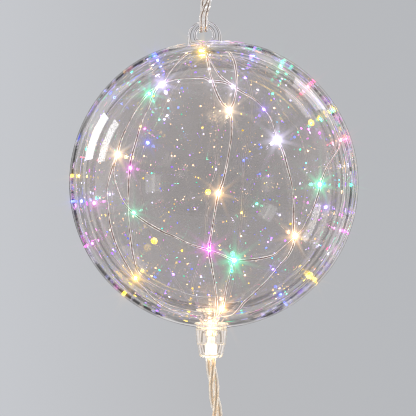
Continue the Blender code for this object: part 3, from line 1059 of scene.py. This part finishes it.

# wires: pairs of fine wires along the inner ball
# painted warm light of the neck, painted onto the wires near the neck
LIT.append((np.array(CENTRE + Vector((0.0, 0.0, -60.0)) * MM), np.array((1.0, 0.55, 0.2)), 9.0))
WIRES = [
    ("front_a", [(216.3, 321.6), (222, 308), (226, 288), (230.4, 270.6), (234.2, 259.8), (243.4, 259.2), (256.4, 258.2), (269.4, 255.4), (276, 252.2), (284.6, 244.6), (294.4, 236)], 0),
    ("front_b", [(214.5, 321.6), (216.3, 295.6), (212, 267.4), (209.2, 249), (212, 229.4), (216.3, 203.4), (218.4, 193.6), (222.8, 181.7), (227, 163), (230.9, 138.5), (231.5, 122), (228.7, 110.8), (221.7, 103.8), (215.2, 90.7), (209.8, 73.4), (207.6, 60.4), (206.5, 54.2)], 0),
    ("front_c", [(229, 111), (233.6, 102.7), (236.3, 86.4), (235.2, 68), (231.5, 57), (226, 51.7)], 0),
    ("front_d", [(207.6, 58), (210.3, 62.5), (219.5, 76.6), (232.5, 87), (241.2, 92.9), (254.2, 100.5), (263.4, 109.7), (270.5, 120), (277, 140), (282.4, 152.6), (286.8, 168.8), (291.1, 186.2), (292.7, 200), (292.2, 214.2), (292.7, 229.4), (294.4, 236)], 0),
    ("right_e", [(219.7, 321.6), (227, 315), (243.4, 301), (254.2, 291.2), (265, 280.4), (278, 265.2), (286.8, 255.4), (292.2, 244.6), (294.4, 236), (300.9, 229.4), (306.3, 218.6), (312.8, 205.6), (318.2, 189.3), (319, 184.4), (324.7, 168.8), (332.3, 156.9), (338.8, 145), (340.5, 140), (335.6, 127.6), (330, 116.8), (322.6, 100.5), (310.6, 84.2), (297.6, 73.4), (290, 70), (281.3, 65.2), (265, 58.2), (254.8, 52.2), (246.6, 50.6), (226, 48.8)], 0),
    ("left_f", [(209.2, 249), (199.8, 246.7), (187.9, 242.4), (174.9, 235.9), (166.2, 232.6), (157.6, 228.3), (146.7, 221.8), (134.2, 212.6), (125, 202.3), (118.5, 188.2), (114.7, 171.9), (118.5, 155), (122.5, 139.8), (131.4, 121), (140.4, 105.9), (149.3, 94.3), (162.2, 84.9), (169.8, 74.6), (177.9, 63.9), (185, 56.9), (191, 53.0)], 0),
    ("left_g", [(162, 85), (156.4, 90.7), (149.3, 108.6), (143, 122), (137.7, 139.8), (132.3, 159.5), (131, 168), (129.4, 192.5), (129.4, 214.2), (131.5, 235.9), (134.8, 257.5), (138, 268.4), (142.4, 273.8)], 0),
    ("left_h", [(118.5, 155), (108.8, 187.1), (109.3, 203.4), (111, 220.7), (115.3, 238), (121.8, 253.2), (129.4, 266.2), (136.4, 277.6), (146.7, 289), (157.6, 301), (168.4, 310.7), (177, 316), (200.9, 321.6)], 0),
    ("top_i", [(162, 85), (175.2, 81.1), (188.3, 79.6), (203.6, 79.2), (210.4, 82), (222.7, 83.4), (232.5, 87)], 0),
    ("green_j", [(234.2, 259.8), (222, 254), (209.2, 249)], 0),
    ("back_k", [(157.6, 246.7), (166.2, 264), (172.2, 276.5), (180.9, 291.2), (187.9, 304), (196.6, 319.3)], 1),
    ("back_l", [(226.4, 53), (244, 60), (254.3, 69.3), (263.6, 80.6), (275, 96), (290, 118), (300, 131), (308, 162.5), (306, 200), (298, 240), (310, 276), (270, 305), (230, 318)], 1),
    ("back_m", [(206, 54), (178, 80), (158, 118.5), (140, 160), (142, 205), (153, 242), (157.6, 246.7)], 1),
    ("back_n", [(207, 54), (216, 110), (216, 169), (208, 192), (205, 240), (192, 291), (206, 318)], 1),
    ("back_o", [(209, 54), (246, 75), (252, 120), (244, 160), (242, 213), (236, 262), (218, 318)], 1),
]
for name, track, back in WIRES:
    base = 54.75 * MM
    points = [on_ball(u, v, base, bool(back)) for u, v in track]
    for end in (0, -1):
        v_end = track[end][1]
        if v_end > 312:
            flat = points[end] - CENTRE
            flat = Vector((flat.x, flat.y - 1.5 * MM, 0.0)).normalized()
            more = [
                CENTRE + flat * r * MM + Vector((-0.95 * MM, 0.0, -h * MM))
                for r, h in ((5.6, 56.0), (3.9, 58.4), (2.3, 60.6), (1.9, 62.6))
            ]
            points = points + more if end else more[::-1] + points
    line = smooth_route(points, 1.1 * MM)
    fixed = []
    for p in line:
        out = p - CENTRE
        r = max(base, out.length if out.z < -54.5 * MM else min(out.length, 58.2 * MM))
        fixed.append(CENTRE + out.normalized() * r)
    thread = (0.08 if back else 0.155) * MM
    pair = Soup()
    frames = frames_along(fixed, Vector((0.3, 0.9, 0.2)))
    gone = 0.0
    sides = [[], [], []]
    for k, p in enumerate(fixed):
        if k:
            gone += (p - fixed[k - 1]).length
        out = (p - CENTRE).normalized()
        way = (fixed[min(k + 1, len(fixed) - 1)] - fixed[max(k - 1, 0)]).normalized()
        across = way.cross(out).normalized()
        turn = gone / (5.2 * MM) + 0.9 * math.sin(gone / (13 * MM))
        for n, sign in enumerate((-1, 1)):
            lift = (0.36 + 0.16 * sign * math.sin(turn)) * MM
            sides[n].append(p + across * 0.40 * MM * sign * (0.80 + 0.3 * math.cos(turn)) + out * lift)
        sides[2].append(p + out * 0.46 * MM)
    pair.tube(sides[0], thread, 8, 0)
    pair.tube(sides[1], thread, 8, 0)
    if not back:
        pair.tube(sides[2], 0.15 * MM, 6, 1)
    wire = pair.piece(f"wire_{name}", [wire_metal_painted_glow, wire_dark], sharp=0)
    # painted light on each wire: a glow, dimmer on the far side, plus each light's colour fading over about 2 mm from
    # it
    painted_light_layer = wire.data.color_attributes.new("near_light", "FLOAT_COLOR", "POINT")
    places = np.array([v.co for v in wire.data.vertices])
    tone = np.full((len(places), 4), (0.30, 0.28, 0.27, 1.0) if back else (0.74, 0.69, 0.66, 1.0))
    for spot, colour, power in LIT:
        far = np.linalg.norm(places - spot, axis=1) / (2.0 * MM)
        tone[:, :3] += np.outer(np.exp(-far), colour) * power
    painted_light_layer.data.foreach_set("color", tone.astype(np.float32).ravel())

# glints: painted reflections of the lights on the shells, as lit specks and streaks
REFLECTION_COLOURS = {
    "warm": 26, "violet": 20, "white": 14, "blue": 13, "yellow": 9, "green": 7, "magenta": 7, "cyan": 2, "pink": 2,
}
GLINT = {1: 1.5, 2: 4.0, 3: 9.0}
groups = {}


def glint(u, v, colour, level, size, back=False, along=1.0, radius=None):
    """One lit speck, a painted reflection of a light, where a picture position shows it, drawn out along the rim by
    that factor.
    """
    if radius is None:
        radius = rng.choice((54.7, 54.9, 56.9, 57.2))
    place = on_ball(u, v, radius * MM, back)
    out = (place - CENTRE).normalized()
    flat = Vector((out.x, 0.0, out.z))
    way = Vector((0, 1, 0)).cross(flat).normalized() if flat.length > 1e-6 else Vector((1, 0, 0))
    side = out.cross(way).normalized()
    ball, faces = lump(Vector((0, 0, 0)), size * MM, 1)
    vertices = [
        place + way * (p.x * along) + side * p.y + out * (p.z * 0.5) for p in ball
    ]
    groups.setdefault((colour, level), []).append((vertices, faces))


names, weights = list(REFLECTION_COLOURS), list(REFLECTION_COLOURS.values())
for n in range(800):
    colour = rng.choices(names, weights)[0]
    share = rng.random()
    r = 138.0 * (share ** 0.5 if n % 3 else share ** 0.28)
    a = rng.uniform(0, 2 * math.pi)
    u, v = 213.8 + r * math.sin(a), 183.6 - r * math.cos(a)
    if r < 45 and colour not in ("warm", "yellow"):
        colour = rng.choice(("warm", "warm", "violet", colour))
    size = 0.13 + (0.16 + 0.26 * min(1.0, r / 90.0)) * rng.random() ** 2.4
    level = rng.choices((1, 2, 3), (45, 38, 17))[0]
    glint(u, v, colour, level, size, rng.random() < 0.45, 1.0 + 1.2 * max(0.0, r / 138.0 - 0.7) / 0.3 * rng.random())

# painted reflections: chains of images between a light near the rim and the rim itself
for u, v, colour, size, level, back in LIGHTS:
    r, a = math.hypot(u - 213.8, 183.6 - v), math.atan2(u - 213.8, 183.6 - v)
    if r < 100 or v < 53 or v > 306:
        continue
    count = rng.choice((2, 3, 3))
    for k in range(count):
        to = min(143.4, r + (143.4 - r) * (k + 0.6 + 0.5 * rng.random()) / count)
        t = a + rng.uniform(-0.008, 0.008)
        glint(
            213.8 + to * math.sin(t), 183.6 - to * math.cos(t), colour, 3 if k % 2 else 2,
            0.30 + 0.22 * rng.random(), False, 1.0 + 1.6 * rng.random(), 59.62 if to > 136.5 else 57.2,
        )

# painted reflections above the neck: a short chain of warm lit specks
for u, v, size in ((209, 308.5, 0.42), (209.2, 312.5, 0.50), (209.6, 316.8, 0.60), (210.2, 321.5, 0.70), (205.5, 320.0, 0.4), (216.5, 321.8, 0.5)):
    glint(u, v, "warm", 3, size, False, 1.3, 57.2)

# painted reflections: streaks of light along the rim
for n in range(330):
    a = rng.uniform(0, 2 * math.pi)
    to = rng.choice((143.5, 142.6, 141.2, 139.6, 138.2, 136.8, 133.5, 131.0)) + rng.uniform(-0.5, 0.5)
    colour = rng.choices(("violet", "white", "magenta", "warm", "blue", "green", "pink"), (24, 26, 16, 16, 9, 5, 4))[0]
    glint(
        213.8 + to * math.sin(a), 183.6 - to * math.cos(a), colour, rng.choice((0, 0, 0, 1)),
        0.13 + 0.12 * rng.random(), False, 4.0 + 14.0 * rng.random() ** 2, 59.62 if to > 137 else 57.2,
    )


def pale_lines():
    """Thin pale lines of light that follow the rim, where the shells gather the room's light."""
    tones = {
        "white": (0.95, 0.92, 0.94), "lilac": (0.86, 0.72, 0.98), "rose": (1.0, 0.78, 0.84), "cream": (1.0, 0.90, 0.76),
    }
    for tone, colour in tones.items():
        lines = Soup()
        for n in range(15):
            to = 106.0 + 37.4 * rng.random() ** 0.40
            start = rng.uniform(0, 2 * math.pi)
            reach = math.radians(rng.uniform(5.0, 34.0))
            drift = rng.uniform(-2.2, 2.2)
            deep = 59.62 if to > 138 else 57.3
            track = []
            for k in range(25):
                a, r = start + reach * k / 24, min(143.5, to + drift * (k / 12 - 1) ** 2)
                track.append(on_ball(213.8 + r * math.sin(a), 183.6 - r * math.cos(a), deep * MM))
            thick = 0.075 * MM
            lines.tube(track, [thick * max(0.15, math.sin(math.pi * (k + 0.3) / 24.6)) for k in range(25)], 6)
        made = lines.piece(f"rim_lines_{tone}", [glow(f"line_{tone}", colour, tuple(0.72 * c for c in colour), 0.85, 120.0)], sharp=0)


pale_lines()


def glint_material(colour, level):
    core, edge = COLOURS[colour]
    if level == 0:
        pale = tuple(0.42 + 0.58 * a for a in core)
        return glow(f"glint_{colour}_0", pale, tuple(0.30 + 0.6 * a for a in edge), 0.95)
    core = tuple(0.45 * a + 0.55 * b for a, b in zip(core, edge))
    return glow(f"glint_{colour}_{level}", core, edge, GLINT[level])


# one piece of painted reflections for each colour and strength
for (colour, level), reflection_specks in groups.items():
    vertices, faces = [], []
    for vs, fs in reflection_specks:
        faces += [tuple(i + len(vertices) for i in f) for f in fs]
        vertices += vs
    piece = mesh_piece(
        f"specks_{colour}_{level}", vertices, faces, [glint_material(colour, level)], sharp=0
    )

# ------------------------------------------------------------ stage
# backdrop: an emitting grey with a painted fall-off of light, lighter at the left and darker towards the right
backdrop_painted_falloff = bpy.data.materials.new("backdrop_grey")
backdrop_painted_falloff.use_nodes = True
nodes, links = backdrop_painted_falloff.node_tree.nodes, backdrop_painted_falloff.node_tree.links
nodes.clear()
out_node = nodes.new("ShaderNodeOutputMaterial")
emit = nodes.new("ShaderNodeEmission")
coord = nodes.new("ShaderNodeTexCoord")
split = nodes.new("ShaderNodeSeparateXYZ")
reach = nodes.new("ShaderNodeMapRange")
reach.inputs["From Min"].default_value = -0.485
reach.inputs["From Max"].default_value = 0.485
tones = nodes.new("ShaderNodeValToRGB")
tones.color_ramp.elements[0].position = 0.05
tones.color_ramp.elements[0].color = (0.563, 0.576, 0.606, 1.0)
tones.color_ramp.elements[1].position = 0.93
tones.color_ramp.elements[1].color = (0.476, 0.487, 0.509, 1.0)
for at, tone in ((0.50, (0.492, 0.498, 0.516)),):
    stop = tones.color_ramp.elements.new(at)
    stop.color = (*tone, 1.0)
links.new(coord.outputs["Object"], split.inputs["Vector"])
links.new(split.outputs["X"], reach.inputs["Value"])
links.new(reach.outputs["Result"], tones.inputs["Fac"])
links.new(tones.outputs["Color"], emit.inputs["Color"])
links.new(emit.outputs["Emission"], out_node.inputs["Surface"])


def plane(name, centre, width, height, normal_turn, finish):
    mesh = bpy.data.meshes.new(name)
    w, h = width / 2, height / 2
    mesh.from_pydata([(-w, -h, 0), (w, -h, 0), (w, h, 0), (-w, h, 0)], [], [(0, 1, 2, 3)])
    mesh.materials.append(finish)
    made = bpy.data.objects.new(name, mesh)
    made.location = centre
    made.rotation_euler = normal_turn
    bpy.context.scene.collection.objects.link(made)
    return made


plane("backdrop", (-0.0024, 5.0, -0.110), 1.21, 1.21, (math.radians(90), 0, 0), backdrop_painted_falloff)
floor_mat, nodes, links, shader = new_material("floor_pale")
set_values(shader, Base_Color=(0.62, 0.62, 0.64), Roughness=0.7)
plane("floor", (0, -0.2, -0.95), 6.0, 3.0, (0, 0, 0), floor_mat)

world = bpy.data.worlds.new("studio")
bpy.context.scene.world = world
world.use_nodes = True
nodes, links = world.node_tree.nodes, world.node_tree.links
nodes.clear()
out_node = nodes.new("ShaderNodeOutputWorld")
back_node = nodes.new("ShaderNodeBackground")
coord = nodes.new("ShaderNodeTexCoord")
split = nodes.new("ShaderNodeSeparateXYZ")
angle = nodes.new("ShaderNodeMath")
angle.operation = "ARCCOSINE"
part = nodes.new("ShaderNodeMath")
part.operation = "DIVIDE"
part.inputs[1].default_value = math.pi
tones = nodes.new("ShaderNodeValToRGB")
stops = (
    (0.0, 0.50), (7.5, 0.14), (11.0, 0.14), (13.0, 0.62), (20.0, 0.58), (23.0, 0.20), (28.0, 0.18),
    (34.0, 0.78), (42.0, 0.66), (60.0, 0.50), (90.0, 0.44), (110.0, 0.28), (140.0, 0.13), (180.0, 0.10),
)
tones.color_ramp.elements[0].position = 0.0
tones.color_ramp.elements[1].position = 1.0
for at, level in stops[1:-1]:
    tones.color_ramp.elements.new(at / 180.0)
for stop, (at, level) in zip(tones.color_ramp.elements, stops):
    stop.color = (level, level * 0.985, level * 1.0, 1.0)
patchy = nodes.new("ShaderNodeTexNoise")
patchy.inputs["Scale"].default_value = 3.5
patchy.inputs["Detail"].default_value = 3.0
spread = nodes.new("ShaderNodeMapRange")
spread.inputs["From Min"].default_value = 0.3
spread.inputs["From Max"].default_value = 0.7
spread.inputs["To Min"].default_value = 0.65
spread.inputs["To Max"].default_value = 1.35
links.new(coord.outputs["Generated"], patchy.inputs["Vector"])
links.new(patchy.outputs["Fac"], spread.inputs["Value"])
links.new(spread.outputs["Result"], back_node.inputs["Strength"])
links.new(coord.outputs["Generated"], split.inputs["Vector"])
links.new(split.outputs["Y"], angle.inputs[0])
links.new(angle.outputs["Value"], part.inputs[0])
links.new(part.outputs["Value"], tones.inputs["Fac"])
links.new(tones.outputs["Color"], back_node.inputs["Color"])
links.new(back_node.outputs["Background"], out_node.inputs["Surface"])


def softbox(name, off_axis, clock, distance, around, outward, radiance, colour=(1, 1, 1)):
    """off_axis is the angle from the side that faces the camera, clock the turn from the top, both in degrees."""
    a, t = math.radians(off_axis), math.radians(clock)
    way = Vector((math.sin(a) * math.sin(t), -math.cos(a), math.sin(a) * math.cos(t)))
    up = Vector((math.cos(a) * math.sin(t), math.sin(a), math.cos(a) * math.cos(t)))
    data = bpy.data.lights.new(name, "AREA")
    data.shape = "RECTANGLE"
    data.size, data.size_y = around, outward
    data.energy = radiance * math.pi * around * outward
    data.color = colour
    made = bpy.data.objects.new(name, data)
    across = up.cross(way)
    made.matrix_world = Matrix.Translation(CENTRE + way * distance) @ Matrix(
        (across, up, way)
    ).transposed().to_4x4()
    made.visible_camera = False
    bpy.context.scene.collection.objects.link(made)
    return made


softbox("softbox_left", 119.0, 291.9, 1.0, 0.335, 0.205, 4.4, (0.93, 0.965, 1.0))
softbox("softbox_right_top", 123.5, 46.5, 1.0, 0.25, 0.28, 1.25, (0.92, 0.90, 1.0))
softbox("fill_left", 50.0, 270.0, 1.0, 0.22, 0.14, 1.0)
softbox("fill_right", 50.0, 118.0, 1.0, 0.20, 0.13, 1.0)

# ------------------------------------------------------------ picture settings
scene = bpy.context.scene
scene.view_settings.view_transform = "Standard"
scene.view_settings.look = "None"
scene.cycles.max_bounces = 32
scene.cycles.transmission_bounces = 32
scene.cycles.glossy_bounces = 12
scene.cycles.diffuse_bounces = 3
scene.cycles.transparent_max_bounces = 32
scene.cycles.sample_clamp_indirect = 40.0
scene.cycles.caustics_reflective = True
scene.cycles.caustics_refractive = True
scene.cycles.blur_glossy = 0.0
scene.cycles.use_denoising = True
scene.cycles.denoiser = "OPENIMAGEDENOISE"
scene.cycles.pixel_filter_type = "BLACKMAN_HARRIS"
scene.cycles.filter_width = 1.15

scene.use_nodes = True
tree = scene.node_tree
tree.nodes.clear()
layers = tree.nodes.new("CompositorNodeRLayers")
bloom = tree.nodes.new("CompositorNodeGlare")
bloom.glare_type = "BLOOM"
bloom.quality = "HIGH"
bloom.inputs["Threshold"].default_value = 1.6
bloom.inputs["Strength"].default_value = 0.22
bloom.inputs["Size"].default_value = 0.03
tree.links.new(layers.outputs["Image"], bloom.inputs["Image"])
picture = bloom.outputs["Image"]
for count, turn, fade, strength, iterations in ((7, 11.0, 0.90, 0.24, 3), (15, 23.0, 0.84, 0.20, 2)):
    streaks = tree.nodes.new("CompositorNodeGlare")
    streaks.glare_type = "STREAKS"
    streaks.quality = "HIGH"
    streaks.inputs["Threshold"].default_value = 2.2
    streaks.inputs["Clamp"].default_value = True
    streaks.inputs["Maximum"].default_value = 12.0
    streaks.inputs["Strength"].default_value = strength
    streaks.inputs["Streaks"].default_value = count
    streaks.inputs["Streaks Angle"].default_value = math.radians(turn)
    streaks.inputs["Iterations"].default_value = iterations
    streaks.inputs["Fade"].default_value = fade
    streaks.inputs["Color Modulation"].default_value = 0.05
    tree.links.new(layers.outputs["Image"], streaks.inputs["Image"])
    richer = tree.nodes.new("CompositorNodeHueSat")
    richer.inputs["Saturation"].default_value = 1.45
    tree.links.new(streaks.outputs["Glare"], richer.inputs["Image"])
    add = tree.nodes.new("CompositorNodeMixRGB")
    add.blend_type = "ADD"
    tree.links.new(picture, add.inputs[1])
    tree.links.new(richer.outputs["Image"], add.inputs[2])
    picture = add.outputs["Image"]
comp = tree.nodes.new("CompositorNodeComposite")
tree.links.new(picture, comp.inputs["Image"])
